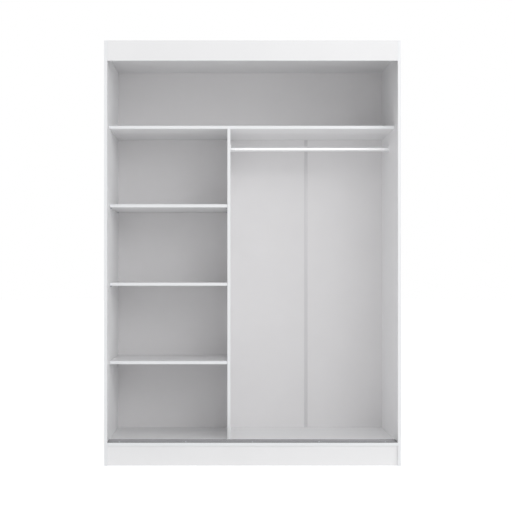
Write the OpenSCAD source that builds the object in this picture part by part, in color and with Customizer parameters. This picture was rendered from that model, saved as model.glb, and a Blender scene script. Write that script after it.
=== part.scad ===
// Carcass of a wardrobe for two sliding doors, with the doors lifted off.
// X runs along the front, Y from the front (-) to the wall (+), Z up from the floor.
// The origin is on the floor, in the middle of the footprint.

/* [Case] */
// Width over the two sides
case_width = 1500; // [1350:10:1700]
// Height from the floor to the top edge of the sides
case_height = 2150; // [2100:10:2400]
// Depth from the front edges to the wall
case_depth = 600; // [580:5:660]
// Thickness of the white faced boards
board = 16; // [16:1:18]
// Thickness of the hardboard back
back_sheet = 3; // [2.5:0.1:4]

/* [Front] */
// Height of the pelmet that hides the upper track
pelmet_height = 102; // [98:1:120]
// Distance from the top edge of the sides down to the ceiling
ceiling_drop = 60; // [54:1:64]
// Height of the plinth, up to the underside of the bottom board
plinth_height = 102; // [96:1:120]
// Distance from the front edges back to the face of the plinth
plinth_recess = 10; // [5:1:30]
// Depth in front of the shelves and the divider, where the doors run
door_bay = 115; // [110:1:125]

/* [Inside] */
// Clear height of each bay in the column of shelves
bay_height = 388; // [300:1:400]
// Clear width of the column of shelves
column_width = 607; // [450:1:700]
// Outer diameter of the hanging rail
rail_diameter = 25; // [22:1:28]
// Distance from the full-width shelf down to the axis of the hanging rail
rail_drop = 81; // [60:1:120]
// Distance of the hanging rail's axis behind the middle of the case
rail_setback = 25; // [0:5:60]

/* [Hidden] */
$fn = 32;

// Radial gap round a peg, dowel or spindle in its bore
fit_gap = 0.05;
// How far a cutting shape runs past the face it opens
past = 1;

// Case outline
half_width = case_width / 2;
front_y = -case_depth / 2;
wall_y = case_depth / 2;
side_x = half_width - board;

// Back: the joiner's rear flange touches the wall, the sheets lie in front of it
joiner_flange = 1;
sheet_rear = wall_y - joiner_flange;
sheet_front = sheet_rear - back_sheet;

// Heights of the undersides of the boards
floor_z = plinth_height + board;
bay_pitch = bay_height + board;
shelf_z = [for (n = [1:3]) floor_z + n * bay_pitch - board];
full_shelf_z = floor_z + 4 * bay_pitch - board;
ceiling_z = case_height - ceiling_drop;

// Inside layout
inner_front = front_y + door_bay;
divider_left = -side_x + column_width;
divider_right = divider_left + board;
plinth_front = front_y + plinth_recess;
plinth_back = plinth_front + board;

// Colours
white_board = [0.93, 0.94, 0.95];
white_sheet = [0.86, 0.86, 0.87];
white_plastic = [0.90, 0.90, 0.90];
track_grey = [0.62, 0.63, 0.65];
bright_metal = [0.80, 0.81, 0.83];
zinc = [0.70, 0.71, 0.72];
beech = [0.80, 0.64, 0.44];
black_plastic = [0.16, 0.16, 0.17];

// A square-edged block between two opposite corners
module block(low, high) {
    translate(low) cube(high - low);
}

// Turns a shape made along +Z so that it points along +X
module point_x() {
    rotate([0, 90, 0]) children();
}

// Turns a shape made along +Z so that it points along +Y
module point_y() {
    rotate([-90, 0, 0]) children();
}

// ---- Wood screws, made head up along -Z, the underside of the head at the origin ----

screw_r = 1.75;
screw_head_r = 3.5;

module pan_screw(length) {
    tip = 3;
    cylinder(h = 2, r1 = screw_head_r, r2 = screw_head_r - 0.8);
    translate([0, 0, tip - length]) cylinder(h = length - tip, r = screw_r);
    translate([0, 0, -length]) cylinder(h = tip, r1 = 0.3, r2 = screw_r);
}

// The head of this one is sunk, so its top is level with the origin
module flush_screw(length) {
    tip = 3;
    sunk = screw_head_r - screw_r;
    translate([0, 0, -sunk]) cylinder(h = sunk, r1 = screw_r, r2 = screw_head_r);
    translate([0, 0, tip - length]) cylinder(h = length - tip - sunk, r = screw_r);
    translate([0, 0, -length]) cylinder(h = tip, r1 = 0.3, r2 = screw_r);
}

module screw_hole(depth) {
    translate([0, 0, -depth - past]) cylinder(h = depth + 2 * past, r = screw_r + 0.15);
}

module flush_screw_hole(depth) {
    sunk = screw_head_r - screw_r;
    screw_hole(depth);
    translate([0, 0, -sunk])
        cylinder(h = sunk + 0.15, r1 = screw_r + 0.15, r2 = screw_head_r + 0.3);
}

// ---- Cam and dowel joints between the sides and the boards that span the case ----

// Each joint row: underside of the board, its front edge, and the way its cams face
bottom_joint = [plinth_height, front_y, -1];
shelf_joint = [full_shelf_z, inner_front, 1];
top_joint = [ceiling_z, front_y + board, 1];
joints = [bottom_joint, shelf_joint, top_joint];

cam_r = 7.5;
cam_height = 12;
cam_offset = 24; // from the end of the board to the cam's centre
cam_inset = 45; // from the front and rear edges
bolt_in_side = 11;
dowel_inset = 85;
dowel_r = 4;
dowel_in_side = 10;
dowel_in_board = 20;

// Places its children at the ends of one board: origin on the inner face of the side,
// +X into the side, middle of the board's thickness at Z 0
module at_board_ends(joint, inset, ends = [-1, 1]) {
    for (end = ends)
        for (y = [joint[1] + inset, sheet_front - inset])
            translate([end * side_x, y, joint[0] + board / 2])
                mirror([end > 0 ? 0 : 1, 0, 0]) children();
}

module cam_place(faces) {
    translate([-cam_offset, 0, faces * (board / 2 - cam_height)])
        mirror([0, 0, faces > 0 ? 0 : 1]) children();
}

module cam_lock(faces) {
    slot = 1.6;
    cam_place(faces) difference() {
        cylinder(h = cam_height, r = cam_r - fit_gap);
        translate([-1, 0, cam_height - board / 2]) point_x() cylinder(h = 2 * cam_r, r = 3.6);
        translate([-5, -slot / 2, cam_height - 2]) cube([10, slot, 3]);
        translate([-slot / 2, -5, cam_height - 2]) cube([slot, 10, 3]);
    }
}

module cam_bore(faces) {
    cam_place(faces) translate([0, 0, -0.5]) cylinder(h = cam_height + past, r = cam_r);
}

module cam_bolt() {
    head_r = 3.3;
    neck_r = 2.4;
    point_x() union() {
        cylinder(h = bolt_in_side, r = 2.5 - fit_gap);
        translate([0, 0, -cam_offset + 3]) cylinder(h = cam_offset - 3, r = neck_r);
        translate([0, 0, -cam_offset]) cylinder(h = 3.2, r = head_r);
    }
}

module bolt_bore_in_board() {
    translate([-cam_offset, 0, 0]) point_x() cylinder(h = cam_offset + past, r = 4);
}

module bolt_bore_in_side() {
    translate([-past, 0, 0]) point_x() cylinder(h = bolt_in_side + past + 0.3, r = 2.5);
}

module dowel(first, second) {
    chamfer = 1;
    length = first + second;
    translate([0, 0, chamfer]) cylinder(h = length - 2 * chamfer, r = dowel_r - fit_gap);
    cylinder(h = chamfer, r1 = dowel_r - fit_gap - chamfer, r2 = dowel_r - fit_gap);
    translate([0, 0, length - chamfer])
        cylinder(h = chamfer, r1 = dowel_r - fit_gap, r2 = dowel_r - fit_gap - chamfer);
}

// Dowel that starts inside the board and ends inside the side
module side_dowel() {
    translate([-dowel_in_board, 0, 0]) point_x() dowel(dowel_in_board, dowel_in_side);
}

module dowel_bore_in_board() {
    translate([-dowel_in_board - 0.5, 0, 0])
        point_x() cylinder(h = dowel_in_board + 0.5 + past, r = dowel_r);
}

module dowel_bore_in_side() {
    translate([-past, 0, 0]) point_x() cylinder(h = dowel_in_side + 0.5 + past, r = dowel_r);
}

module bores_in_board(joint) {
    at_board_ends(joint, cam_inset) {
        cam_bore(joint[2]);
        bolt_bore_in_board();
    }
    at_board_ends(joint, dowel_inset) dowel_bore_in_board();
}

module bores_in_side(end) {
    for (joint = joints) {
        at_board_ends(joint, cam_inset, [end]) bolt_bore_in_side();
        at_board_ends(joint, dowel_inset, [end]) dowel_bore_in_side();
    }
}

// ---- Loose shelves and their pins ----

pin_r = 2.5;
pin_in_board = 8;
pin_out = 8;
pin_collar = 0.6;
pin_inset = 50;
shelf_end_gap = 1;
shelf_rest_gap = 0.3; // between a shelf and its pins, so that it slides freely
shelf_rear = sheet_front - 1;

// Places its children at the four pins of a shelf: origin on the board's face, +X into the board
module at_shelf_pins(z, faces = [-1, 1]) {
    for (face = faces)
        for (y = [inner_front + pin_inset, shelf_rear - pin_inset])
            translate([face < 0 ? -side_x : divider_left, y, z - shelf_rest_gap - pin_r])
                mirror([face > 0 ? 0 : 1, 0, 0]) children();
}

module shelf_pins(z) {
    color(zinc) at_shelf_pins(z) translate([-pin_out, 0, 0]) point_x() union() {
        cylinder(h = 1, r1 = pin_r - 0.6, r2 = pin_r);
        translate([0, 0, 1]) cylinder(h = pin_out + pin_in_board - 1, r = pin_r - fit_gap);
        translate([0, 0, pin_out - pin_collar]) cylinder(h = pin_collar, r = pin_r + 0.9);
    }
}

module pin_bores(face) {
    for (z = shelf_z)
        at_shelf_pins(z, [face])
            translate([-past, 0, 0]) point_x() cylinder(h = pin_in_board + 0.5 + past, r = pin_r);
}

module loose_shelf(z) {
    color(white_board) block(
        [-side_x + shelf_end_gap, inner_front, z],
        [divider_left - shelf_end_gap, shelf_rear, z + board]
    );
}

module lower_shelf() { loose_shelf(shelf_z[0]); }
module middle_shelf() { loose_shelf(shelf_z[1]); }
module upper_shelf() { loose_shelf(shelf_z[2]); }
module lower_shelf_pins() { shelf_pins(shelf_z[0]); }
module middle_shelf_pins() { shelf_pins(shelf_z[1]); }
module upper_shelf_pins() { shelf_pins(shelf_z[2]); }

// ---- Levelling feet: a bracket on a board, a screwed spindle with a pad, a hole from inside ----

foot_reach = 24; // from the board's face to the spindle's axis
foot_y = 170; // in front of and behind the middle of the case
spindle_r = 4;
foot_pad_r = 17;
foot_hole_r = 5;
bracket_foot_z = 40; // lower end of the bracket's boss

// Places its children at one foot: origin under the board's face, +X away from the board
module at_foot(column, row) {
    x = column < 0 ? -side_x : column > 0 ? side_x : divider_right;
    translate([x, row * foot_y, 0]) mirror([column > 0 ? 1 : 0, 0, 0]) children();
}

module at_feet() {
    for (column = [-1, 0, 1])
        for (row = [-1, 1])
            at_foot(column, row) children();
}

module foot(column, row) {
    spindle_top = plinth_height - 12;
    at_foot(column, row) translate([foot_reach, 0, 0]) {
        color(black_plastic) union() {
            cylinder(h = 1.5, r1 = foot_pad_r - 1.5, r2 = foot_pad_r);
            translate([0, 0, 1.5]) cylinder(h = 4.5, r = foot_pad_r);
            translate([0, 0, 6]) cylinder(h = 8, r1 = foot_pad_r, r2 = 8);
            difference() {
                translate([0, 0, 14]) cylinder(h = spindle_top - 14, r = spindle_r);
                translate([0, 0, spindle_top - 5]) cylinder(h = 5 + past, r = 2, $fn = 6);
            }
        }
    }
}

module foot_brackets() {
    plate = 3;
    half = 25;
    color(black_plastic) at_feet() difference() {
        union() {
            block([0, -half, 32], [plate, half, plinth_height]);
            block([0, -half, plinth_height - 4], [foot_reach + 14, half, plinth_height]);
            block([0, -2.5, bracket_foot_z], [foot_reach, 2.5, plinth_height]);
            translate([foot_reach, 0, bracket_foot_z])
                cylinder(h = plinth_height - bracket_foot_z, r = 9);
        }
        translate([foot_reach, 0, 0]) cylinder(h = plinth_height + past, r = spindle_r + fit_gap);
        at_foot_bracket_screws() screw_hole(plate);
    }
}

// Two screws a bracket, through its plate into the board
module at_foot_bracket_screws() {
    for (side = [-1, 1])
        translate([3, side * 17, 48]) point_x() children();
}

module foot_bracket_screws() {
    color(zinc) at_feet() at_foot_bracket_screws() pan_screw(15);
}

module at_foot_holes() {
    at_feet() translate([foot_reach, 0, plinth_height]) children();
}

module foot_hole_caps() {
    color(white_plastic) at_foot_holes() union() {
        translate([0, 0, board - 6]) cylinder(h = 6, r = foot_hole_r - fit_gap);
        translate([0, 0, board]) cylinder(h = 1, r1 = foot_hole_r + 2, r2 = foot_hole_r + 1.2);
    }
}

module foot_front_left() { foot(-1, -1); }
module foot_front_middle() { foot(0, -1); }
module foot_front_right() { foot(1, -1); }
module foot_rear_left() { foot(-1, 1); }
module foot_rear_middle() { foot(0, 1); }
module foot_rear_right() { foot(1, 1); }

// ---- Case boards ----

module side(end) {
    color(white_board) difference() {
        block(
            [end < 0 ? -half_width : side_x, front_y, 0],
            [end < 0 ? -side_x : half_width, sheet_front, case_height]
        );
        bores_in_side(end);
        if (end < 0) pin_bores(-1);
    }
}

module left_side() { side(-1); }
module right_side() { side(1); }

module bottom_panel() {
    color(white_board) difference() {
        block([-side_x, front_y, plinth_height], [side_x, sheet_front, floor_z]);
        bores_in_board(bottom_joint);
        at_foot_holes() translate([0, 0, -past]) cylinder(h = board + 2 * past, r = foot_hole_r);
        at_plinth_dowels() dowel_bore_up();
        at_divider_screws(-1) divider_screw_bore();
    }
}

module top_panel() {
    color(white_board) difference() {
        block([-side_x, front_y + board, ceiling_z], [side_x, sheet_front, ceiling_z + board]);
        bores_in_board(top_joint);
        at_pelmet_dowels() dowel_bore_rear();
    }
}

module full_width_shelf() {
    color(white_board) difference() {
        block([-side_x, inner_front, full_shelf_z], [side_x, sheet_front, full_shelf_z + board]);
        bores_in_board(shelf_joint);
        at_divider_screws(1) divider_screw_bore();
    }
}

module divider() {
    color(white_board) difference() {
        block([divider_left, inner_front, floor_z], [divider_right, sheet_front, full_shelf_z]);
        pin_bores(1);
        for (end = [-1, 1]) at_divider_screws(end) divider_screw_bore();
    }
}

module pelmet() {
    color(white_board) difference() {
        block([-side_x, front_y, case_height - pelmet_height], [side_x, front_y + board, case_height]);
        at_pelmet_dowels() dowel_bore_front();
    }
}

module front_plinth() {
    color(white_board) difference() {
        block([-side_x, plinth_front, 0], [side_x, plinth_back, plinth_height]);
        at_plinth_dowels() dowel_bore_down();
    }
}

module rear_plinth() {
    color(white_board) difference() {
        block([-side_x, -plinth_back, 0], [side_x, -plinth_front, plinth_height]);
        at_plinth_dowels() dowel_bore_down();
    }
}

// Board on edge under the divider, clear of the floor, so that the middle feet carry it
module plinth_brace() {
    floor_gap = 2;
    color(white_board) block(
        [divider_left, plinth_back, floor_gap],
        [divider_right, -plinth_back, plinth_height]
    );
}

// ---- Dowels between the plinth and the bottom board, and the pelmet and the top board ----

dowel_row_inset = 120;

module at_plinth_dowels() {
    for (y = [plinth_front + board / 2, -plinth_front - board / 2])
        for (x = [-side_x + dowel_row_inset, 60, side_x - dowel_row_inset])
            translate([x, y, plinth_height]) children();
}

module at_pelmet_dowels() {
    reach = side_x - dowel_row_inset;
    for (x = [-reach, -reach / 3, reach / 3, reach])
        translate([x, front_y + board, ceiling_z + board / 2]) children();
}

module dowel_bore_up() {
    translate([0, 0, -past]) cylinder(h = dowel_in_side + 0.5 + past, r = dowel_r);
}

module dowel_bore_down() {
    translate([0, 0, -dowel_in_board - 0.5]) cylinder(h = dowel_in_board + 0.5 + past, r = dowel_r);
}

module dowel_bore_front() {
    translate([0, -dowel_in_side - 0.5, 0])
        point_y() cylinder(h = dowel_in_side + 0.5 + past, r = dowel_r);
}

module dowel_bore_rear() {
    translate([0, -past, 0]) point_y() cylinder(h = dowel_in_board + 0.5 + past, r = dowel_r);
}

module side_dowels() {
    color(beech) for (joint = joints) at_board_ends(joint, dowel_inset) side_dowel();
}

module plinth_dowels() {
    color(beech) at_plinth_dowels()
        translate([0, 0, -dowel_in_board]) dowel(dowel_in_board, dowel_in_side);
}

module pelmet_dowels() {
    color(beech) at_pelmet_dowels()
        translate([0, -dowel_in_side, 0]) point_y() dowel(dowel_in_side, dowel_in_board);
}

module cam_locks() {
    color(zinc) for (joint = joints) at_board_ends(joint, cam_inset) cam_lock(joint[2]);
}

module cam_bolts() {
    color(bright_metal) for (joint = joints) at_board_ends(joint, cam_inset) cam_bolt();
}

// ---- Screws through the bottom board and the full-width shelf into the divider's ends ----

divider_screw_inset = 70;
divider_screw_length = 50;

// End -1 is the bottom end and 1 the top end. Origin on the outer face of the board that the
// screw passes, +Z out of it
module at_divider_screws(end) {
    z = end > 0 ? full_shelf_z + board : plinth_height;
    for (y = [inner_front + divider_screw_inset, sheet_front - divider_screw_inset])
        translate([(divider_left + divider_right) / 2, y, z])
            mirror([0, 0, end > 0 ? 0 : 1]) children();
}

module divider_screw_shape(gap) {
    head_h = 3.5;
    head_r = 5 + gap;
    neck_r = 3.5 + gap;
    thread_r = 2.6 + gap;
    translate([0, 0, -1.2 - head_h]) cylinder(h = head_h, r1 = neck_r, r2 = head_r);
    translate([0, 0, -board + 1]) cylinder(h = board - 2 - head_h, r = neck_r);
    translate([0, 0, -divider_screw_length - gap])
        cylinder(h = divider_screw_length - board + 2 + gap, r = thread_r);
}

module divider_screw_bore() {
    divider_screw_shape(fit_gap);
    translate([0, 0, -1.25]) cylinder(h = past + 1.25, r = 5 + fit_gap);
}

module divider_screws() {
    socket_r = 2.3;
    color(zinc) for (end = [-1, 1])
        at_divider_screws(end) difference() {
            divider_screw_shape(0);
            translate([0, 0, -4]) cylinder(h = 3, r = socket_r, $fn = 6);
        }
}

// Only the upper pair shows, so only it has caps
module divider_screw_caps() {
    color(white_plastic) at_divider_screws(1) union() {
        translate([0, 0, -0.9]) cylinder(h = 1, r = 5 - fit_gap);
        cylinder(h = 1, r1 = 6.5, r2 = 5.7);
    }
}

// ---- Moulded corner blocks behind the plinth and the pelmet ----

corner_leg = 5;
corner_size = 30;
corner_height = 24;

// One leg on the plane X = 0, the other on Y = 0, a web between them
module corner_block() {
    web = 3;
    difference() {
        union() {
            block([0, 0, 0], [corner_leg, corner_size, corner_height]);
            block([0, 0, 0], [corner_size, corner_leg, corner_height]);
            translate([0, 0, corner_height / 2 - web / 2]) linear_extrude(web)
                polygon([[0, 0], [corner_size - 2, 0], [0, corner_size - 2]]);
        }
        at_corner_screws() screw_hole(corner_leg);
        // room for the two screw heads in the web
        at_corner_screws() cylinder(h = 6, r = screw_head_r + 0.5);
    }
}

module at_corner_screws() {
    middle = corner_size - 9;
    translate([corner_leg, middle, corner_height / 2]) point_x() children();
    translate([middle, corner_leg, corner_height / 2]) point_y() children();
}

// Four blocks join the plinth to the sides and two hold the brace
module at_plinth_blocks() {
    z = 40;
    for (row = [-1, 1]) {
        mirror([0, row > 0 ? 1 : 0, 0]) {
            translate([-side_x, plinth_back, z]) children();
            translate([side_x, plinth_back, z]) mirror([1, 0, 0]) children();
            translate([divider_left, plinth_back, z]) mirror([1, 0, 0]) children();
        }
    }
}

// Two blocks join the pelmet to the sides and two stand on the top board
module at_pelmet_blocks() {
    shelf = ceiling_z + board;
    for (end = [-1, 1]) {
        mirror([end > 0 ? 1 : 0, 0, 0]) {
            translate([-side_x, front_y + board, shelf + 6]) children();
            translate([-side_x / 3, front_y + board, shelf]) rotate([90, 0, 90]) children();
        }
    }
}

module plinth_blocks() { color(white_plastic) at_plinth_blocks() corner_block(); }
module pelmet_blocks() { color(white_plastic) at_pelmet_blocks() corner_block(); }
module plinth_block_screws() { color(zinc) at_plinth_blocks() at_corner_screws() pan_screw(17); }
module pelmet_block_screws() { color(zinc) at_pelmet_blocks() at_corner_screws() pan_screw(17); }

// ---- Back sheets, the strip that joins two of them, and the nails ----

sheet_gap = 1;
sheet_edge = 2; // how far the sheets stop short of the outer faces
sheet_low = plinth_height + sheet_edge;
sheet_high = ceiling_z + board - sheet_edge;
sheet_split_z = full_shelf_z + board / 2;
divider_x = (divider_left + divider_right) / 2;
joiner_x = (divider_right + side_x) / 2;
joiner_web = 2;
joiner_width = 18;

module sheet(low_x, high_x, low_z, high_z) {
    color(white_sheet) block([low_x, sheet_front, low_z], [high_x, sheet_rear, high_z]);
}

module back_top() {
    reach = half_width - sheet_edge;
    sheet(-reach, reach, sheet_split_z + sheet_gap / 2, sheet_high);
}

module back_left() {
    sheet(-half_width + sheet_edge, divider_x - sheet_gap / 2, sheet_low, sheet_split_z - sheet_gap / 2);
}

module back_middle() {
    sheet(divider_x + sheet_gap / 2, joiner_x - joiner_web / 2, sheet_low, sheet_split_z - sheet_gap / 2);
}

module back_right() {
    sheet(joiner_x + joiner_web / 2, half_width - sheet_edge, sheet_low, sheet_split_z - sheet_gap / 2);
}

// Plastic H section, as high as the hanging space
module back_joiner() {
    half = joiner_width / 2;
    low = floor_z + 0.5;
    high = full_shelf_z - 0.5;
    color(white_sheet) union() {
        block(
            [joiner_x - half, sheet_front - joiner_flange, low],
            [joiner_x + half, sheet_front, high]
        );
        block([joiner_x - half, sheet_rear, low], [joiner_x + half, wall_y, high]);
        block(
            [joiner_x - joiner_web / 2, sheet_front - joiner_flange, low],
            [joiner_x + joiner_web / 2, wall_y, high]
        );
    }
}

nail_pitch = 200;

// Nails spread evenly between two points of the back
module nail_row(from, to) {
    span = norm(to - from);
    count = round(span / nail_pitch);
    for (n = [0:count]) {
        point = from + (to - from) * n / count;
        translate([point[0], sheet_rear, point[1]]) nail();
    }
}

module nail() {
    shank = 22;
    head_r = 2;
    shank_r = 0.8;
    translate([0, -shank, 0]) point_y() cylinder(h = shank + 0.5, r = shank_r, $fn = 16);
    point_y() cylinder(h = 1, r = head_r, $fn = 16);
}

module back_nails() {
    edge_x = half_width - board / 2;
    inset = 40;
    low = plinth_height + board / 2;
    high = ceiling_z + board / 2;
    beside = board / 4;
    color(zinc) {
        for (end = [-1, 1]) {
            nail_row([end * edge_x, low + inset], [end * edge_x, sheet_split_z - inset]);
            nail_row([end * edge_x, sheet_split_z + inset], [end * edge_x, high - inset]);
        }
        nail_row([-side_x + inset, high], [side_x - inset, high]);
        nail_row([-side_x + inset, sheet_split_z + beside], [side_x - inset, sheet_split_z + beside]);
        for (z = [low, sheet_split_z - beside]) {
            nail_row([-side_x + inset, z], [divider_x - inset, z]);
            nail_row([divider_x + inset, z], [joiner_x - inset, z]);
            nail_row([joiner_x + inset, z], [side_x - inset, z]);
        }
        for (x = [divider_x - beside, divider_x + beside])
            nail_row([x, low + inset], [x, sheet_split_z - inset]);
    }
}

// ---- Door tracks ----

track_end_gap = 0.5;
track_half = side_x - track_end_gap;
front_door_y = front_y + 38; // middle planes of the two doors
rear_door_y = front_door_y + 41.5;
rib = 1.5;
lower_track_front = front_y + 3;
lower_track_width = 88;
lower_track_height = 6;
lower_web = 1.4;
groove_half = 4;
upper_track_height = 20;
upper_web = 2;
upper_track_front = front_y + board + 1;
upper_track_rear = rear_door_y + 21.5;
track_screws_x = [for (n = [-2:2]) n * (side_x - 60) / 2];

// Sweeps a section, drawn as Y across and Z up, along the whole track
module track_extrusion() {
    translate([-track_half, 0, 0])
        rotate([90, 0, 90]) linear_extrude(2 * track_half) children();
}

// A low nose at the front edge, two roller grooves between ribs, then a ramp down to the rear edge
module lower_track() {
    nose_height = 3;
    ramp_start = rear_door_y + groove_half;
    rib_starts = [
        front_door_y - groove_half - rib,
        front_door_y + groove_half,
        (front_door_y + rear_door_y - rib) / 2,
        rear_door_y - groove_half - rib
    ];
    color(track_grey) difference() {
        track_extrusion() translate([0, floor_z]) polygon(concat(
            [
                [lower_track_front, 0],
                [lower_track_front, nose_height],
                [lower_track_front + rib, nose_height],
                [lower_track_front + rib, lower_web]
            ],
            [for (y = rib_starts) each [
                [y, lower_web],
                [y, lower_track_height],
                [y + rib, lower_track_height],
                [y + rib, lower_web]
            ]],
            [
                [ramp_start, lower_web],
                [ramp_start, lower_track_height],
                [ramp_start + rib, lower_track_height],
                [lower_track_front + lower_track_width, lower_web],
                [lower_track_front + lower_track_width, 0]
            ]
        ));
        at_lower_track_screws() screw_hole(lower_web);
    }
}

module at_lower_track_screws() {
    for (x = track_screws_x)
        for (y = [front_y + 16, front_door_y + 12])
            translate([x, y, floor_z + lower_web]) children();
}

module lower_track_screws() { color(zinc) at_lower_track_screws() pan_screw(14); }

module upper_track() {
    color(track_grey) difference() {
        track_extrusion() translate([0, ceiling_z]) union() {
            translate([upper_track_front, -upper_web])
                square([upper_track_rear - upper_track_front, upper_web]);
            for (y = [
                upper_track_front,
                (front_door_y + rear_door_y - rib) / 2,
                upper_track_rear - rib
            ])
                translate([y, -upper_track_height]) square([rib, upper_track_height]);
        }
        at_upper_track_screws() flush_screw_hole(upper_web);
    }
}

// Screws go up through the web, one row in each channel
module at_upper_track_screws() {
    for (x = track_screws_x)
        for (y = [front_door_y, rear_door_y])
            translate([x, y, ceiling_z - upper_web]) mirror([0, 0, 1]) children();
}

module upper_track_screws() { color(zinc) at_upper_track_screws() flush_screw(15); }

// Rubber-faced stops clipped into both ends of both channels
module upper_track_stops() {
    length = 12;
    half = 16;
    height = 12;
    color(black_plastic) for (end = [-1, 1])
        mirror([end > 0 ? 0 : 1, 0, 0])
            for (y = [front_door_y, rear_door_y])
                block(
                    [track_half - length, y - half, ceiling_z - upper_web - height],
                    [track_half, y + half, ceiling_z - upper_web]
                );
}

// ---- Hanging rail and its sockets ----

rail_r = rail_diameter / 2;
rail_wall = 1.2;
rail_z = full_shelf_z - rail_drop;
rail_fit = 0.1;
socket_flange = 3;
socket_length = 25;
socket_wall = 3;
rail_end_gap = 0.5;

module hanging_rail() {
    left = divider_right + socket_flange + rail_end_gap;
    right = side_x - socket_flange - rail_end_gap;
    color(bright_metal) translate([left, rail_setback, rail_z]) point_x() difference() {
        cylinder(h = right - left, r = rail_r, $fn = 64);
        translate([0, 0, -past])
            cylinder(h = right - left + 2 * past, r = rail_r - rail_wall, $fn = 64);
    }
}

// Cup open at the top, so that the rail lifts out. Origin on the board's face, +X into the bay
module rail_socket() {
    outer_r = rail_r + socket_wall;
    inner_r = rail_r + rail_fit;
    flange_half = outer_r;
    flange_top = rail_r + 11.5;
    difference() {
        union() {
            point_x() cylinder(h = socket_length, r = outer_r, $fn = 64);
            block([0, -flange_half, 0], [socket_flange, flange_half, flange_top]);
        }
        translate([socket_flange, 0, 0])
            point_x() cylinder(h = socket_length, r = inner_r, $fn = 64);
        // the way out, as wide as the rail
        block([socket_flange, -inner_r, 0], [socket_length + past, inner_r, outer_r + past]);
        // the cup's walls end a little above the axis
        block(
            [socket_flange, -outer_r - past, 4],
            [socket_length + past, outer_r + past, outer_r + past]
        );
        at_socket_screws() flush_screw_hole(socket_flange);
    }
}

// One screw above the rail and one behind its end
module at_socket_screws() {
    for (z = [0, rail_r + 6])
        translate([socket_flange, 0, z]) point_x() children();
}

module at_left_socket() {
    translate([divider_right, rail_setback, rail_z]) children();
}

module at_right_socket() {
    translate([side_x, rail_setback, rail_z]) mirror([1, 0, 0]) children();
}

module left_rail_socket() { color(bright_metal) at_left_socket() rail_socket(); }
module right_rail_socket() { color(bright_metal) at_right_socket() rail_socket(); }

module rail_socket_screws() {
    color(zinc) {
        at_left_socket() at_socket_screws() flush_screw(14);
        at_right_socket() at_socket_screws() flush_screw(14);
    }
}

// ---- Brackets that tie the case to the wall ----

wall_bracket_plate = 2;
wall_bracket_width = 30;
wall_bracket_depth = 40;
wall_bracket_height = 38;
wall_hole_r = 3;

// Origin on the top board, at the wall plane, in the middle of the bracket
module at_wall_brackets() {
    for (end = [-1, 1])
        translate([end * (side_x - 200), wall_y, ceiling_z + board]) children();
}

module at_wall_bracket_screws() {
    for (y = [-16, -30])
        translate([0, y, wall_bracket_plate]) children();
}

module wall_brackets() {
    half = wall_bracket_width / 2;
    color(bright_metal) at_wall_brackets() difference() {
        union() {
            block([-half, -wall_bracket_depth, 0], [half, 0, wall_bracket_plate]);
            block([-half, -wall_bracket_plate, 0], [half, 0, wall_bracket_height]);
        }
        at_wall_bracket_screws() screw_hole(wall_bracket_plate);
        translate([0, -wall_bracket_plate - past, 24])
            point_y() cylinder(h = wall_bracket_plate + 2 * past, r = wall_hole_r);
    }
}

module wall_bracket_screws() { color(zinc) at_wall_brackets() at_wall_bracket_screws() pan_screw(15); }

// ---- Nodes ----

left_side();
right_side();
bottom_panel();
top_panel();
full_width_shelf();
divider();
pelmet();
front_plinth();
rear_plinth();
plinth_brace();
lower_shelf();
middle_shelf();
upper_shelf();
lower_shelf_pins();
middle_shelf_pins();
upper_shelf_pins();
back_top();
back_left();
back_middle();
back_right();
back_joiner();
back_nails();
cam_locks();
cam_bolts();
side_dowels();
plinth_dowels();
pelmet_dowels();
divider_screws();
divider_screw_caps();
plinth_blocks();
plinth_block_screws();
pelmet_blocks();
pelmet_block_screws();
lower_track();
lower_track_screws();
upper_track();
upper_track_screws();
upper_track_stops();
hanging_rail();
left_rail_socket();
right_rail_socket();
rail_socket_screws();
foot_brackets();
foot_bracket_screws();
foot_hole_caps();
foot_front_left();
foot_front_middle();
foot_front_right();
foot_rear_left();
foot_rear_middle();
foot_rear_right();
wall_brackets();
wall_bracket_screws();
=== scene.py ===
import math

import bmesh
import bpy
from mathutils import Matrix, Vector


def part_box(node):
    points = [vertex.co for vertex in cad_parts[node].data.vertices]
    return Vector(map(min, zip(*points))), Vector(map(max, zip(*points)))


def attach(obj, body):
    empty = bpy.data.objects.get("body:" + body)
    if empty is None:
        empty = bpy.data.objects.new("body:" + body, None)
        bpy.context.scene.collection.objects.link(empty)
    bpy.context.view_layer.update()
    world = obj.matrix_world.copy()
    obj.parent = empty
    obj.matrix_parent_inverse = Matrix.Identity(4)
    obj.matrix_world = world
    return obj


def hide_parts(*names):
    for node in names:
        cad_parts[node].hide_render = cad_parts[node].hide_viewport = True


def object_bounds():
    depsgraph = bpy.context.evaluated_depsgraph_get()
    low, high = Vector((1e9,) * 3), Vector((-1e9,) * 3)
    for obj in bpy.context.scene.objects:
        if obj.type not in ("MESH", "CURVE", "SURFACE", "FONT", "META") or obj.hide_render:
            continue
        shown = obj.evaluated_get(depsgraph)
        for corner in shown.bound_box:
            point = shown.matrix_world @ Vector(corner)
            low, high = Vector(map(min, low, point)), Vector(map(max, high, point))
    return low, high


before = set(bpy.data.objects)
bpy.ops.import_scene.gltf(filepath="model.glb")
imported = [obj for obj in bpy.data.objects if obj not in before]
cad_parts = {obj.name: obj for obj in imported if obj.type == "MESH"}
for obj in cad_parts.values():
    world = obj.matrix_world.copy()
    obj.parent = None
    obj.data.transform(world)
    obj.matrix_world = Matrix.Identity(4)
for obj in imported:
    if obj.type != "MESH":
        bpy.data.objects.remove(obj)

cad_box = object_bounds()
MM = 0.001


# ---- Stage: floor, wall-less white room and camera ---------------------------------------------
# A white studio floor that runs out of sight into a white room. The camera stands level, a little
# left of the middle of the case and about waist high, and looks straight at the wall.

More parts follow.
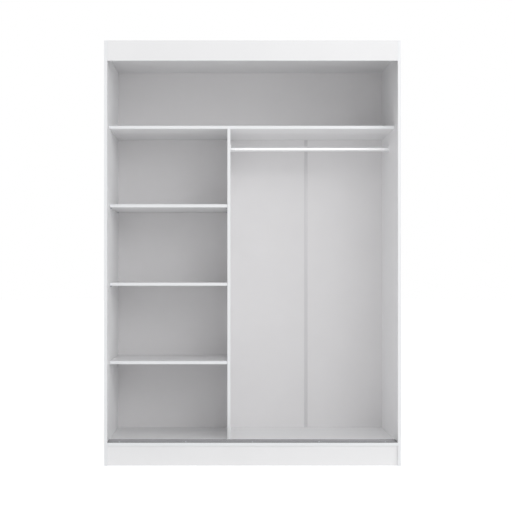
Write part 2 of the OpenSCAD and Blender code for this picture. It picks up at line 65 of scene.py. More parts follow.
def linear(hex_colour):
    """An sRGB hex value as the linear colour that shaders take."""
    parts = [int(hex_colour[i:i + 2], 16) / 255 for i in (1, 3, 5)]
    curve = [p / 12.92 if p <= 0.04045 else ((p + 0.055) / 1.055) ** 2.4 for p in parts]
    return (*curve, 1.0)


def add_node(tree, kind, sockets=None, **settings):
    """Adds a shader node, sets its properties, and sets or links its inputs."""
    node = tree.nodes.new("ShaderNode" + kind)
    for name, value in settings.items():
        setattr(node, name, value)
    for key, value in (sockets or {}).items():
        if isinstance(value, bpy.types.NodeSocket):
            tree.links.new(value, node.inputs[key])
        else:
            node.inputs[key].default_value = value
    return node


def new_material(name):
    """An empty node material and its tree."""
    material = bpy.data.materials.new(name)
    material.use_nodes = True
    material.node_tree.nodes.clear()
    return material, material.node_tree


def finish_material(tree, shader):
    """Wires a finished shader to the material's output."""
    add_node(tree, "OutputMaterial", {"Surface": shader.outputs[0]})


def new_piece(name, bm, materials):
    """Turns a finished bmesh into an object at the origin, with its materials in slot order."""
    mesh = bpy.data.meshes.new(name)
    bm.to_mesh(mesh)
    bm.free()
    for material in materials:
        mesh.materials.append(material)
    piece = bpy.data.objects.new(name, mesh)
    bpy.context.scene.collection.objects.link(piece)
    return piece


FLOOR_GLOW = 0.22
FLOOR_SEEN = 0.5
FLOOR_REACH = 40


def studio_floor():
    """Matt white vinyl. It glows a little, as a lit studio sweep does, and burns out to white."""
    material, tree = new_material("matt_white_floor")
    seen = add_node(tree, "LightPath")
    glow = add_node(
        tree, "Mix", {"Factor": seen.outputs["Is Camera Ray"], "A": FLOOR_GLOW, "B": FLOOR_SEEN}
    )
    vinyl = add_node(tree, "BsdfDiffuse", {"Color": linear("#F4F4F4")})
    light = add_node(tree, "Emission", {"Strength": glow.outputs["Result"]})
    finish_material(tree, add_node(tree, "AddShader", {0: vinyl.outputs[0], 1: light.outputs[0]}))
    bm = bmesh.new()
    bmesh.ops.create_grid(bm, x_segments=1, y_segments=1, size=FLOOR_REACH)
    new_piece("studio_floor", bm, [material])


studio_floor()

ROOM_LIGHT = 0.63
ROOM_MIRRORED = 1.8
world = bpy.data.worlds.new("white_studio")
bpy.context.scene.world = world
world.use_nodes = True
world.node_tree.nodes.clear()
seen = add_node(world.node_tree, "LightPath")
# the room is white where it is seen, brighter where it is mirrored, and dimmer as a light
unseen = add_node(
    world.node_tree, "Mix",
    {"Factor": seen.outputs["Is Glossy Ray"], "A": ROOM_LIGHT, "B": ROOM_MIRRORED},
)
strength = add_node(
    world.node_tree, "Mix",
    {"Factor": seen.outputs["Is Camera Ray"], "A": unseen.outputs["Result"], "B": 1.0},
)
room = add_node(
    world.node_tree, "Background",
    {"Color": linear("#FFFFFF"), "Strength": strength.outputs["Result"]},
)
add_node(world.node_tree, "OutputWorld", {"Surface": room.outputs[0]})


def soft_box(name, place, aim, width, height, watts):
    """A rectangular studio light at a place in metres, turned towards its aim."""
    light = bpy.data.lights.new(name, "AREA")
    light.shape = "RECTANGLE"
    light.size = width
    light.size_y = height
    light.energy = watts
    lamp = bpy.data.objects.new(name, light)
    lamp.location = place
    lamp.rotation_euler = (Vector(aim) - Vector(place)).to_track_quat("-Z", "Y").to_euler()
    bpy.context.scene.collection.objects.link(lamp)


soft_box("high_soft_box", (2.5, -8.0, 5.0), (0.0, 0.0, 1.0), 4.0, 4.0, 74)
soft_box("near_soft_box", (3.4, -6.0, 3.2), (0.2, 0.0, 1.0), 3.0, 3.0, 25)
soft_box("side_soft_box", (6.0, -4.5, 2.5), (0.0, 0.0, 1.0), 3.0, 3.0, 68)

camera = bpy.data.objects.new("camera", bpy.data.cameras.new("camera"))
bpy.context.scene.collection.objects.link(camera)
bpy.context.scene.camera = camera
CAMERA_TO_FRONT = 5.75
camera.location = (-0.137, cad_box[0][1] - CAMERA_TO_FRONT, 0.955)
camera.rotation_euler = (math.radians(90), 0, 0)
camera.data.lens = 79.6
camera.data.sensor_width = 36
camera.data.shift_x = 0.0623
camera.data.shift_y = 0.0379
camera.data.clip_end = 200
bpy.context.scene.view_settings.view_transform = "Standard"


# ---- Case boards --------------------------------------------------------------------------------
# 16 mm chipboard faced on both sides in white melamine, pressed with a fine pearl texture. Edges
# that show are banded in white ABS with a milled round; edges that don't show are bare chipboard.
# The boards are cut and drilled to the frame's shapes and only their edges are eased here.

def texture_scale(size_mm):
    """The noise scale that makes features of that size, for coordinates in metres."""
    return 1 / (size_mm * MM)


def white_melamine():
    """Resin-soaked paper pressed hot on a pearl plate: dead white, satin, faintly pebbled."""
    material, tree = new_material("white_melamine")
    spot = add_node(tree, "TexCoord").outputs["Object"]
    # the real pearl is 0.5 mm across, so it is drawn at 2.5 mm to show at all
    pearl = add_node(tree, "TexNoise", {"Vector": spot, "Scale": texture_scale(2.5), "Detail": 1.0})
    cloud = add_node(tree, "TexNoise", {"Vector": spot, "Scale": texture_scale(180), "Detail": 3.0})
    colour = add_node(
        tree, "Mix",
        {"Factor": cloud.outputs["Fac"], 6: linear("#EDEDEE"), 7: linear("#F1F1F2")},
        data_type="RGBA",
    )
    gloss = add_node(
        tree, "MapRange",
        {"Value": pearl.outputs["Fac"], "From Min": 0.3, "From Max": 0.7,
         "To Min": 0.40, "To Max": 0.50},
    )
    relief = add_node(
        tree, "Bump", {"Height": pearl.outputs["Fac"], "Strength": 0.12, "Distance": 0.1 * MM}
    )
    shader = add_node(
        tree, "BsdfPrincipled",
        {"Base Color": colour.outputs[2], "Roughness": gloss.outputs[0],
         "Normal": relief.outputs[0], "IOR": 1.5},
    )
    finish_material(tree, shader)
    return material


def white_abs_band():
    """Extruded plastic strip, trimmed and buffed: a shade cooler and glossier than the faces."""
    material, tree = new_material("white_abs_edge_band")
    spot = add_node(tree, "TexCoord").outputs["Object"]
    buffing = add_node(tree, "TexNoise", {"Vector": spot, "Scale": texture_scale(8), "Detail": 2.0})
    gloss = add_node(
        tree, "MapRange", {"Value": buffing.outputs["Fac"], "To Min": 0.30, "To Max": 0.38}
    )
    colour = add_node(
        tree, "Mix",
        {"Factor": buffing.outputs["Fac"], 6: linear("#ECEEF0"), 7: linear("#F0F1F3")},
        data_type="RGBA",
    )
    shader = add_node(
        tree, "BsdfPrincipled",
        {"Base Color": colour.outputs[2], "Roughness": gloss.outputs[0], "IOR": 1.52},
    )
    finish_material(tree, shader)
    return material


def bare_chipboard():
    """Sawn chipboard: pressed wood particles, from straw to brown, rough and dry."""
    material, tree = new_material("bare_chipboard")
    spot = add_node(tree, "TexCoord").outputs["Object"]
    chips = add_node(tree, "TexVoronoi", {"Vector": spot, "Scale": texture_scale(3.5)})
    chip_tone = add_node(tree, "SeparateColor", {"Color": chips.outputs["Color"]})
    dust = add_node(tree, "TexNoise", {"Vector": spot, "Scale": texture_scale(1.5), "Detail": 2.0})
    wood = add_node(
        tree, "Mix",
        {"Factor": chip_tone.outputs[0], 6: linear("#B58E60"), 7: linear("#DCC197")},
        data_type="RGBA",
    )
    colour = add_node(
        tree, "Mix",
        {"Factor": dust.outputs["Fac"], 6: wood.outputs[2], 7: linear("#C8A67A")},
        data_type="RGBA",
    )
    relief = add_node(
        tree, "Bump", {"Height": chip_tone.outputs[0], "Strength": 0.5, "Distance": 0.3 * MM}
    )
    shader = add_node(
        tree, "BsdfPrincipled",
        {"Base Color": colour.outputs[2], "Roughness": 0.85, "Normal": relief.outputs[0]},
    )
    finish_material(tree, shader)
    return material


MELAMINE = white_melamine()
ABS_BAND = white_abs_band()
CHIPBOARD = bare_chipboard()
BAND_THICKNESS = 1.3 * MM
BAND_RADIUS = 1.0 * MM
SHARP_EDGE_EASING = 0.25 * MM
WELD_DISTANCE = 0.01 * MM
ON_PLANE = 0.02 * MM
FLAT_WITHIN = math.radians(1)


def joined_copy(node):
    """The frame's shape of a node with its loose triangles joined and its flat areas made whole."""
    bm = bmesh.new()
    bm.from_mesh(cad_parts[node].data)
    bmesh.ops.remove_doubles(bm, verts=bm.verts, dist=WELD_DISTANCE)
    bmesh.ops.dissolve_limit(bm, angle_limit=FLAT_WITHIN, verts=bm.verts, edges=bm.edges)
    return bm


def planes_of(vertex, low, high):
    """The outer planes of a box that a vertex lies on, as (axis, side) pairs."""
    found = set()
    for axis in range(3):
        if abs(vertex.co[axis] - low[axis]) < ON_PLANE:
            found.add((axis, -1))
        if abs(vertex.co[axis] - high[axis]) < ON_PLANE:
            found.add((axis, 1))
    return found


def ease_edges(bm, low, high, radius, segments, wanted):
    """Rounds the outer edges of a board whose two planes satisfy wanted."""
    edges = []
    for edge in bm.edges:
        shared = planes_of(edge.verts[0], low, high) & planes_of(edge.verts[1], low, high)
        if len(shared) >= 2 and wanted(shared):
            edges.append(edge)
    bmesh.ops.bevel(
        bm, geom=edges, affect="EDGES", offset=radius, offset_type="OFFSET",
        segments=segments, profile=0.5, material=-1, clamp_overlap=True,
    )


def board(node, banded, body="carcass"):
    """Makes one board. banded holds the (axis, side) of each edge that has an ABS band."""
    low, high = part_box(node)
    thin_axis = min(range(3), key=lambda axis: high[axis] - low[axis])
    bm = joined_copy(node)
    ease_edges(bm, low, high, BAND_RADIUS, 3, lambda shared: shared & banded)
    ease_edges(bm, low, high, SHARP_EDGE_EASING, 1, lambda shared: not shared & banded)
    for axis, side in banded:
        outer = (high if side > 0 else low)[axis]
        normal = Vector((0, 0, 0))
        normal[axis] = side
        cut = Vector((0, 0, 0))
        cut[axis] = outer - side * BAND_THICKNESS
        bmesh.ops.bisect_plane(
            bm, geom=[*bm.verts, *bm.edges, *bm.faces], dist=1e-7, plane_co=cut, plane_no=normal
        )
    bm.normal_update()
    for face in bm.faces:
        middle = face.calc_center_median()
        in_band = any(
            (middle[axis] - (high if side > 0 else low)[axis]) * side > -BAND_THICKNESS
            for axis, side in banded
        )
        on_face = any(
            abs(middle[thin_axis] - edge[thin_axis]) < SHARP_EDGE_EASING for edge in (low, high)
        )
        face.material_index = 1 if in_band else 0 if on_face else 2
        face.smooth = False
    piece = new_piece(node + "_board", bm, [MELAMINE, ABS_BAND, CHIPBOARD])
    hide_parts(node)
    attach(piece, body)


LEFT, RIGHT, FRONT, TOP, BOTTOM = (0, -1), (0, 1), (1, -1), (2, 1), (2, -1)
board("left_side", {FRONT, TOP})
board("right_side", {FRONT, TOP})
board("bottom_panel", {FRONT})
board("top_panel", set())
board("full_width_shelf", {FRONT})
board("divider", {FRONT})
board("pelmet", {TOP, BOTTOM, LEFT, RIGHT})
board("front_plinth", {BOTTOM})
board("rear_plinth", {BOTTOM})
board("plinth_brace", set())


# ---- Back ---------------------------------------------------------------------------------------
# Four sheets of 3 mm hardboard nailed to the rear edges of the boards. The inside is lacquered
# white by roller, a touch greyer and flatter than the melamine; the wall side is bare brown board.

def lacquered_hardboard():
    """White roller lacquer on hardboard: even, nearly matt, with a very faint orange peel."""
    material, tree = new_material("white_lacquered_hardboard")
    spot = add_node(tree, "TexCoord").outputs["Object"]
    peel = add_node(tree, "TexNoise", {"Vector": spot, "Scale": texture_scale(4), "Detail": 1.5})
    cloud = add_node(tree, "TexNoise", {"Vector": spot, "Scale": texture_scale(120), "Detail": 4.0})
    colour = add_node(
        tree, "Mix",
        {"Factor": cloud.outputs["Fac"], 6: linear("#E9E8E9"), 7: linear("#EDECED")},
        data_type="RGBA",
    )
    relief = add_node(
        tree, "Bump", {"Height": peel.outputs["Fac"], "Strength": 0.15, "Distance": 0.1 * MM}
    )
    shader = add_node(
        tree, "BsdfPrincipled",
        {"Base Color": colour.outputs[2], "Roughness": 0.62, "Normal": relief.outputs[0]},
    )
    finish_material(tree, shader)
    return material


def bare_hardboard():
    """Hot-pressed wood fibre: tobacco brown, mottled with darker fibre bundles, dull."""
    material, tree = new_material("bare_hardboard")
    spot = add_node(tree, "TexCoord").outputs["Object"]
    mottle = add_node(tree, "TexNoise", {"Vector": spot, "Scale": texture_scale(25), "Detail": 6.0})
    fibre = add_node(tree, "TexNoise", {"Vector": spot, "Scale": texture_scale(2), "Detail": 3.0})
    ground = add_node(
        tree, "Mix",
        {"Factor": mottle.outputs["Fac"], 6: linear("#7A5636"), 7: linear("#A07B52")},
        data_type="RGBA",
    )
    specks = add_node(
        tree, "MapRange", {"Value": fibre.outputs["Fac"], "From Min": 0.52, "From Max": 0.85}
    )
    colour = add_node(
        tree, "Mix",
        {"Factor": specks.outputs[0], 6: ground.outputs[2], 7: linear("#68492D")},
        data_type="RGBA",
    )
    relief = add_node(
        tree, "Bump", {"Height": fibre.outputs["Fac"], "Strength": 0.3, "Distance": 0.2 * MM}
    )
    shader = add_node(
        tree, "BsdfPrincipled",
        {"Base Color": colour.outputs[2], "Roughness": 0.7, "Normal": relief.outputs[0]},
    )
    finish_material(tree, shader)
    return material


LACQUER = lacquered_hardboard()
HARDBOARD = bare_hardboard()


def back_sheet(node):
    """One sheet: lacquer on the face towards the room, brown board on the rest."""
    low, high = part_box(node)
    bm = joined_copy(node)
    ease_edges(bm, low, high, SHARP_EDGE_EASING, 1, lambda shared: True)
    for face in bm.faces:
        face.material_index = 0 if face.normal.y < -0.9 else 1
    piece = new_piece(node + "_sheet", bm, [LACQUER, HARDBOARD])
    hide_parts(node)
    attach(piece, "carcass")


for sheet_node in ("back_top", "back_left", "back_middle", "back_right"):
    back_sheet(sheet_node)


# ---- Cam and dowel joints -----------------------------------------------------------------------
# Die-cast zinc cams in the boards pull on plated bolts in the sides, with a beech dowel beside
# each pair. All of them lie in their bores, and only the cams' slotted faces and ends show.

def finish(name, dark, light, grain, rough, relief, metallic=0.0, stretch=(1, 1, 1), ior=1.5):
    """A surface whose colour, gloss and relief all vary over one grain, given in millimetres."""
    material, tree = new_material(name)
    spot = add_node(tree, "TexCoord").outputs["Object"]
    along = add_node(tree, "Mapping", {"Vector": spot, "Scale": stretch}).outputs[0]
    skin = add_node(
        tree, "TexNoise", {"Vector": along, "Scale": texture_scale(grain), "Detail": 3.0}
    )
    colour = add_node(
        tree, "Mix",
        {"Factor": skin.outputs["Fac"], 6: linear(dark), 7: linear(light)},
        data_type="RGBA",
    )
    gloss = add_node(
        tree, "MapRange",
        {"Value": skin.outputs["Fac"], "From Min": 0.3, "From Max": 0.7,
         "To Min": rough[0], "To Max": rough[1]},
    )
    bump = add_node(
        tree, "Bump", {"Height": skin.outputs["Fac"], "Strength": relief, "Distance": 0.1 * MM}
    )
    shader = add_node(
        tree, "BsdfPrincipled",
        {"Base Color": colour.outputs[2], "Roughness": gloss.outputs[0],
         "Normal": bump.outputs[0], "Metallic": metallic, "IOR": ior},
    )
    finish_material(tree, shader)
    return material


# cast zinc, tumbled and not polished: a cold dull grey with a sandy skin
CAST_ZINC = finish("die_cast_zinc", "#8C8F93", "#A7AAAE", 0.8, (0.42, 0.58), 0.35, metallic=1.0)
# steel with bright zinc plate: pale and bluish, fairly smooth, slightly clouded
ZINC_PLATE = finish("bright_zinc_plate", "#B4B9C0", "#D0D4D8", 3.0, (0.24, 0.38), 0.1, metallic=1.0)
# turned beech: straw pink with fine darker grain along the dowel, which mostly lies along X
BEECH = finish("turned_beech", "#B98A5C", "#D9B486", 1.2, (0.55, 0.7), 0.4, stretch=(0.1, 1, 1))


def keep(node, material):
    """Gives a node of the frame, whose shape is right as it is, its real finish."""
    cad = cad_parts[node]
    for slot in cad.material_slots:
        slot.link = "OBJECT"
        slot.material = material


keep("cam_locks", CAST_ZINC)
keep("cam_bolts", ZINC_PLATE)
keep("side_dowels", BEECH)
keep("plinth_dowels", BEECH)
keep("pelmet_dowels", BEECH)


# ---- Divider's screws and caps ------------------------------------------------------------------
# Long confirmat screws with hexagon sockets run through the bottom board and the full-width shelf
# into the ends of the divider. Thin moulded caps hide the upper two heads.

def solids_of(node):
    """The corner points of each separate solid of a node, in the mesh's own order."""
    bm = bmesh.new()
    bm.from_mesh(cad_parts[node].data)
    bmesh.ops.remove_doubles(bm, verts=bm.verts, dist=WELD_DISTANCE)
    solids = []
    seen_verts = set()
    for start in bm.verts:
        if start in seen_verts:
            continue
        seen_verts.add(start)
        reached = [start]
        for vert in reached:
            for edge in vert.link_edges:
                other = edge.other_vert(vert)
                if other not in seen_verts:
                    seen_verts.add(other)
                    reached.append(other)
        solids.append([vert.co.copy() for vert in reached])
    bm.free()
    return solids


TURN_TO_NEXT = 2.4


def places_of(node, axis=None):
    """A matrix a solid: origin in the middle of its wider end, +Z out of that end."""
    places = []
    for points in solids_of(node):
        low = Vector([min(p[a] for p in points) for a in range(3)])
        high = Vector([max(p[a] for p in points) for a in range(3)])
        middle = (low + high) / 2
        along = max(range(3), key=lambda a: high[a] - low[a]) if axis is None else axis
        widths = []
        for end in (low, high):
            rim = [p for p in points if abs(p[along] - end[along]) < ON_PLANE]
            widths.append(max((p - middle).length for p in rim))
        side = 1 if widths[1] > widths[0] else -1
        top = middle.copy()
        top[along] = (high if side > 0 else low)[along]
        out = Vector((0, 0, 0))
        out[along] = side
        aim = out.to_track_quat("Z", "Y").to_matrix().to_4x4()
        # no two screws stop at the same angle
        turn = Matrix.Rotation(TURN_TO_NEXT * len(places), 4, "Z")
        places.append(Matrix.Translation(top) @ aim @ turn)
    return places


def lathe(bm, profile, segments, closed=False):
    """Turns a profile of (radius, height) pairs in millimetres about the Z axis."""
    verts = [bm.verts.new((r * MM, 0, z * MM)) for r, z in profile]
    edges = [bm.edges.new(pair) for pair in zip(verts, verts[1:])]
    if closed:
        edges.append(bm.edges.new((verts[-1], verts[0])))
    bmesh.ops.spin(
        bm, geom=verts + edges, cent=(0, 0, 0), axis=(0, 0, 1), angle=math.tau,
        steps=segments, use_merge=True,
    )
    bmesh.ops.remove_doubles(bm, verts=bm.verts, dist=0.001 * MM)
    bmesh.ops.recalc_face_normals(bm, faces=bm.faces)


SHADING_BREAK = math.radians(35)


def shade_round(bm):
    """Smooth faces, with the shading broken at every sharp or open edge."""
    for face in bm.faces:
        face.smooth = True
    for edge in bm.edges:
        edge.smooth = edge.calc_face_angle(math.pi) < SHADING_BREAK


def fit(piece, node, body="carcass"):
    """Puts a finished piece in the place of its node of the frame."""
    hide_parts(node)
    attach(piece, body)


def repeat(node, shape, material, axis=None):
    """One piece with a copy of a shape at each solid of a node; the shape is used up."""
    shade_round(shape)
    pattern = bpy.data.meshes.new("pattern")
    shape.to_mesh(pattern)
    shape.free()
    bm = bmesh.new()
    for place in places_of(node, axis):
        first = len(bm.verts)
        bm.from_mesh(pattern)
        bm.verts.ensure_lookup_table()
        bmesh.ops.transform(bm, matrix=place, verts=bm.verts[first:])
    bpy.data.meshes.remove(pattern)
    fit(new_piece(node + "_set", bm, [material]), node)


# moulded polypropylene: milky white, slightly waxy, with soft mould texture
WHITE_POLY = finish("white_polypropylene", "#E4E5E5", "#EEEEEE", 0.9, (0.42, 0.5), 0.2, ior=1.49)
CAP_PROFILE = [
    (0, -1.9), (4.95, -1.9), (4.95, -1.0), (6.4, -1.0), (6.35, -0.85), (6.05, -0.45), (5.6, -0.12),
    (5.0, 0), (0, 0),
]
keep("divider_screws", ZINC_PLATE)
cap = bmesh.new()
lathe(cap, CAP_PROFILE, 32)
repeat("divider_screw_caps", cap, WHITE_POLY, axis=2)


# ---- Corner blocks ------------------------------------------------------------------------------
# Injection-moulded blocks, two legs and a web, hold the plinth and the pelmet to the boards beside
# them. Each takes two cross-slotted pan head screws of zinc-plated steel, driven at right angles.

SOFTENED_FROM = math.radians(40)


def soften(bm, radius, segments, shortest=2.0):
    """Rounds the sharp edges to a radius in millimetres; the short rim edges of holes are left."""
    edges = [
        edge for edge in bm.edges
        if edge.is_manifold and edge.calc_length() > shortest * MM
        and edge.calc_face_angle() > SOFTENED_FROM
    ]
    bmesh.ops.bevel(
        bm, geom=edges, affect="EDGES", offset=radius * MM, offset_type="OFFSET",
        segments=segments, profile=0.5, material=-1, clamp_overlap=True,
    )
    shade_round(bm)


def softened(node, radius, segments, material, shortest=2.0):
    """A copy of a node's shape with its sharp edges rounded, as a piece of the case."""
    bm = joined_copy(node)
    soften(bm, radius, segments, shortest)
    fit(new_piece(node + "_soft", bm, [material]), node)


def cross_slotted(profile, slot_reach, slot_depth):
    """A turned screw, tip first in its profile, whose flat top gets a cross-shaped recess."""
    bm = bmesh.new()
    lathe(bm, profile, 24)
    rim = [edge for edge in bm.edges if edge.is_boundary]
    top = bmesh.ops.contextual_create(bm, geom=rim)["faces"][0]
    bmesh.ops.inset_region(bm, faces=[top], thickness=0.1 * MM, use_even_offset=True)
    # the inset face's 24 corners are drawn in to a cross, six to each quarter turn
    arm, half = slot_reach * MM, 0.28 * slot_reach * MM
    between = (arm + half) / 2
    quarter = [(arm, 0), (arm, half), (between, half), (half, half), (half, between), (half, arm)]
    for vert in top.verts:
        step = round(math.degrees(math.atan2(vert.co.y, vert.co.x)) / 15) % 24
        turned = Matrix.Rotation(math.radians(90 * (step // 6)), 2) @ Vector(quarter[step % 6])
        vert.co.x, vert.co.y = turned
    floor = bmesh.ops.extrude_face_region(bm, geom=[top])
    floor_verts = [item for item in floor["geom"] if isinstance(item, bmesh.types.BMVert)]
    bmesh.ops.delete(bm, geom=[top], context="FACES_ONLY")
    bmesh.ops.scale(bm, vec=(0.6, 0.6, 1), verts=floor_verts)
    bmesh.ops.translate(bm, vec=(0, 0, -slot_depth * MM), verts=floor_verts)
    bmesh.ops.recalc_face_normals(bm, faces=bm.faces)
    return bm


def pan_screw(length):
    """Low domed head 7 mm across, 2 mm high, over a 3.5 mm shank of that length in millimetres."""
    end = -2 - length
    profile = [
        (0, end), (0.3, end), (1.75, end + 3), (1.75, -2), (3.5, -2), (3.35, -1.6), (3.1, -1.0),
        (2.72, -0.35), (2.2, 0),
    ]
    return cross_slotted(profile, 1.5, 1.1)


softened("plinth_blocks", 0.5, 2, WHITE_POLY)
softened("pelmet_blocks", 0.5, 2, WHITE_POLY)
repeat("plinth_block_screws", pan_screw(17), ZINC_PLATE)
repeat("pelmet_block_screws", pan_screw(17), ZINC_PLATE)


# ---- Levelling feet -----------------------------------------------------------------------------
# Moulded black polyamide brackets are screwed to the sides and the brace. A threaded spindle with
# a round pad hangs in each, and is turned from above through a hole in the bottom board.

# glass-filled polyamide: near black, dull, with a grey bloom and moulding grain
BLACK_NYLON = finish("black_polyamide", "#1B1B1C", "#2A2A2C", 0.7, (0.5, 0.65), 0.3, ior=1.53)
PAD_PROFILE = [
    (0, 0.9), (12.6, 0.9), (13.4, 0), (15.2, 0), (16.2, 0.6), (16.8, 1.6), (17, 2.6), (17, 5.2),
    (16.4, 6.3), (15.4, 7.1), (12.2, 9.6), (9.4, 12.0), (8.0, 13.4), (7.2, 14), (3.4, 14),
    (3.4, 62), (3.95, 62.6), (3.95, 89.6), (3.5, 90), (2.2, 90), (2.0, 89.7), (2.0, 85), (0, 85),
]
THREAD_PITCH = 1.25
THREAD_START, THREAD_END = 14.2, 61.5
THREAD_STEPS = 16


def spindle_thread(bm):
    """A V-shaped ridge that climbs the spindle's core, one pitch for each turn."""
    ridge = [
        bm.verts.new((r * MM, 0, (THREAD_START + z) * MM))
        for r, z in ((3.3, 0), (4.0, THREAD_PITCH / 2), (3.3, THREAD_PITCH))
    ]
    start = bm.faces.new(ridge)
    turns = int((THREAD_END - THREAD_START) / THREAD_PITCH)
    bmesh.ops.spin(
        bm, geom=[start], cent=(0, 0, 0), axis=(0, 0, 1), angle=math.tau * turns,
        dvec=(0, 0, THREAD_PITCH * MM / THREAD_STEPS), steps=turns * THREAD_STEPS,
    )


def levelling_foot(node):
    """Spindle, thread and pad in one moulding, which rides on its own body."""
    low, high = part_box(node)
    bm = bmesh.new()
    spindle_thread(bm)
    core = bmesh.new()
    lathe(core, PAD_PROFILE, 40)
    part = bpy.data.meshes.new("core")
    core.to_mesh(part)
    core.free()
    bm.from_mesh(part)
    bpy.data.meshes.remove(part)
    bmesh.ops.recalc_face_normals(bm, faces=bm.faces)
    shade_round(bm)
    centre = Vector(((low.x + high.x) / 2, (low.y + high.y) / 2, low.z))
    bmesh.ops.translate(bm, vec=centre, verts=bm.verts)
    fit(new_piece(node + "_turned", bm, [BLACK_NYLON]), node, body=node)


for row in ("front", "rear"):
    for column in ("left", "middle", "right"):
        levelling_foot(f"foot_{row}_{column}")
softened("foot_brackets", 0.4, 2, BLACK_NYLON)
repeat("foot_bracket_screws", pan_screw(15), ZINC_PLATE)

HOLE_CAP_PROFILE = [
    (0, -1.6), (3.9, -1.6), (3.9, -7), (4.7, -7), (4.95, -6.6), (4.95, -1.0), (6.95, -1.0),
    (6.88, -0.85), (6.5, -0.42), (6.1, -0.1), (5.5, 0), (0, 0),
]
hole_cap = bmesh.new()
lathe(hole_cap, HOLE_CAP_PROFILE, 32)
repeat("foot_hole_caps", hole_cap, WHITE_POLY, axis=2)


# ---- Back's joining strip and nails -------------------------------------------------------------
# An extruded PVC section of H shape holds the edges of two back sheets together, and shows as a
# slightly greyer upright band. Plated nails with small domed heads hold the sheets to the boards.

# extruded PVC: a greyer white than the sheets, smooth, with die lines that run up and down
WHITE_PVC = finish(
    "white_extruded_pvc", "#D8D7D9", "#DFDEE0", 1.0, (0.34, 0.42), 0.15,
    stretch=(1, 1, 0.02), ior=1.53,
)
softened("back_joiner", 0.3, 2, WHITE_PVC)

NAIL_PROFILE = [
    (0, -23), (0.75, -21.4), (0.78, -1.0), (1.95, -1.0), (1.95, -0.72), (1.4, -0.2), (0.7, 0),
    (0, 0),
]
nail = bmesh.new()
lathe(nail, NAIL_PROFILE, 12)
repeat("back_nails", nail, ZINC_PLATE)


# ---- Wall brackets ------------------------------------------------------------------------------
# Two pressed steel angles on the top board tie the case to the wall. They are 2 mm plate, zinc
# plated after pressing, so their cut edges are rounded over and shine like their faces.

softened("wall_brackets", 0.5, 3, ZINC_PLATE, shortest=1.6)
repeat("wall_bracket_screws", pan_screw(15), ZINC_PLATE)


# ---- Door tracks --------------------------------------------------------------------------------
# Extruded aluminium, anodised grey. The lower track's ribs make two roller grooves, and the
# upper one is an E section that hangs from the top board. Both are screwed down through the web.

# anodised extrusion: an even mid grey, satin, with hairlines from the die along X
ANODISED = finish(
    "grey_anodised_aluminium", "#757577", "#848486", 1.2, (0.34, 0.46), 0.25, metallic=1.0,
    stretch=(0.004, 1, 1),
)
# moulded rubber: charcoal black, quite dull, with a dusty bloom
RUBBER = finish("moulded_black_rubber", "#202021", "#303031", 0.8, (0.75, 0.88), 0.3, ior=1.52)


def track(node):
    """One extrusion; only its long edges are eased, as the die leaves them."""
    bm = joined_copy(node)
    soften(bm, 0.2, 2, shortest=100)
    fit(new_piece(node + "_extrusion", bm, [ANODISED]), node)


def countersunk_screw(length):
    """Head 7 mm across, sunk so that its top is flush, and that length overall in millimetres."""
    profile = [
        (0, -length), (0.3, -length), (1.75, 3 - length), (1.75, -1.75), (3.42, -0.08), (3.34, 0),
        (2.2, 0),
    ]
    return cross_slotted(profile, 1.6, 1.2)


track("lower_track")
repeat("lower_track_screws", pan_screw(14), ZINC_PLATE)
track("upper_track")
repeat("upper_track_screws", countersunk_screw(15), ZINC_PLATE)
softened("upper_track_stops", 1.2, 3, RUBBER)


# ---- Hanging rail -------------------------------------------------------------------------------
# A drawn steel tube, 25 mm across, brushed and then chromed, with deburred ends. It lies loose in
# two cups of chromed zinc, open at the top, which are screwed to the divider and the right side.

# chrome over brushed steel: very bright, but its highlight spreads over half of its height
CHROME = finish(
    "chrome_on_brushed_steel", "#F6F6F7", "#FCFCFD", 2.0, (0.40, 0.48), 0.05, metallic=1.0,
    stretch=(0.01, 1, 1),
)
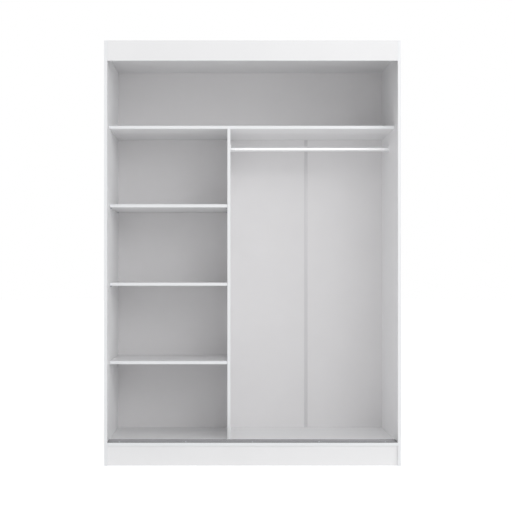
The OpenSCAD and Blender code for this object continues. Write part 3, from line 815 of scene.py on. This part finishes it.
# chromed casting: a shade duller, and rippled a little by the casting under it
CHROMED_ZINC = finish(
    "chromed_zinc_casting", "#ECEDEE", "#F4F4F5", 2.5, (0.36, 0.46), 0.12, metallic=1.0
)
RAIL_INNER_RADIUS = 11.3
RAIL_OUTER_RIM = 0.3
RAIL_INNER_RIM = 0.2


def hanging_rail():
    """A tube from cup to cup, its outer and inner rims eased at both ends."""
    low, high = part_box("hanging_rail")
    length = (high.x - low.x) / MM
    outer = (high.z - low.z) / 2 / MM
    lip = RAIL_INNER_RADIUS + RAIL_INNER_RIM
    profile = [
        (RAIL_INNER_RADIUS, RAIL_OUTER_RIM), (lip, 0), (outer - RAIL_OUTER_RIM, 0),
        (outer, RAIL_OUTER_RIM), (outer, length - RAIL_OUTER_RIM),
        (outer - RAIL_OUTER_RIM, length), (lip, length),
        (RAIL_INNER_RADIUS, length - RAIL_OUTER_RIM),
    ]
    bm = bmesh.new()
    lathe(bm, profile, 64, closed=True)
    shade_round(bm)
    lie_down = Matrix.Rotation(math.radians(90), 4, "Y")
    centre = Vector((low.x, (low.y + high.y) / 2, (low.z + high.z) / 2))
    bmesh.ops.transform(bm, matrix=Matrix.Translation(centre) @ lie_down, verts=bm.verts)
    fit(new_piece("hanging_rail_tube", bm, [CHROME]), "hanging_rail", "hanging_rail")


hanging_rail()
softened("left_rail_socket", 0.5, 3, CHROMED_ZINC)
softened("right_rail_socket", 0.5, 3, CHROMED_ZINC)
repeat("rail_socket_screws", countersunk_screw(14), ZINC_PLATE)


# ---- Loose shelves and their pins ---------------------------------------------------------------
# Boards like the rest of the case, banded along the front, that lie on four turned steel pins
# each. A pin is 5 mm thick, pushed into the side or the divider as far as its collar.

PIN_PROFILE = [
    (0, -16), (1.3, -16), (1.85, -15.8), (2.35, -15.1), (2.45, -14.8), (2.45, -8.6), (3.25, -8.6),
    (3.38, -8.45), (3.38, -8.15), (3.25, -8.0), (2.45, -8.0), (2.45, -0.4), (2.05, 0), (0, 0),
]
for shelf_node in ("lower_shelf", "middle_shelf", "upper_shelf"):
    pin = bmesh.new()
    lathe(pin, PIN_PROFILE, 24)
    repeat(shelf_node + "_pins", pin, ZINC_PLATE)
    board(shelf_node, {FRONT}, body=shelf_node)
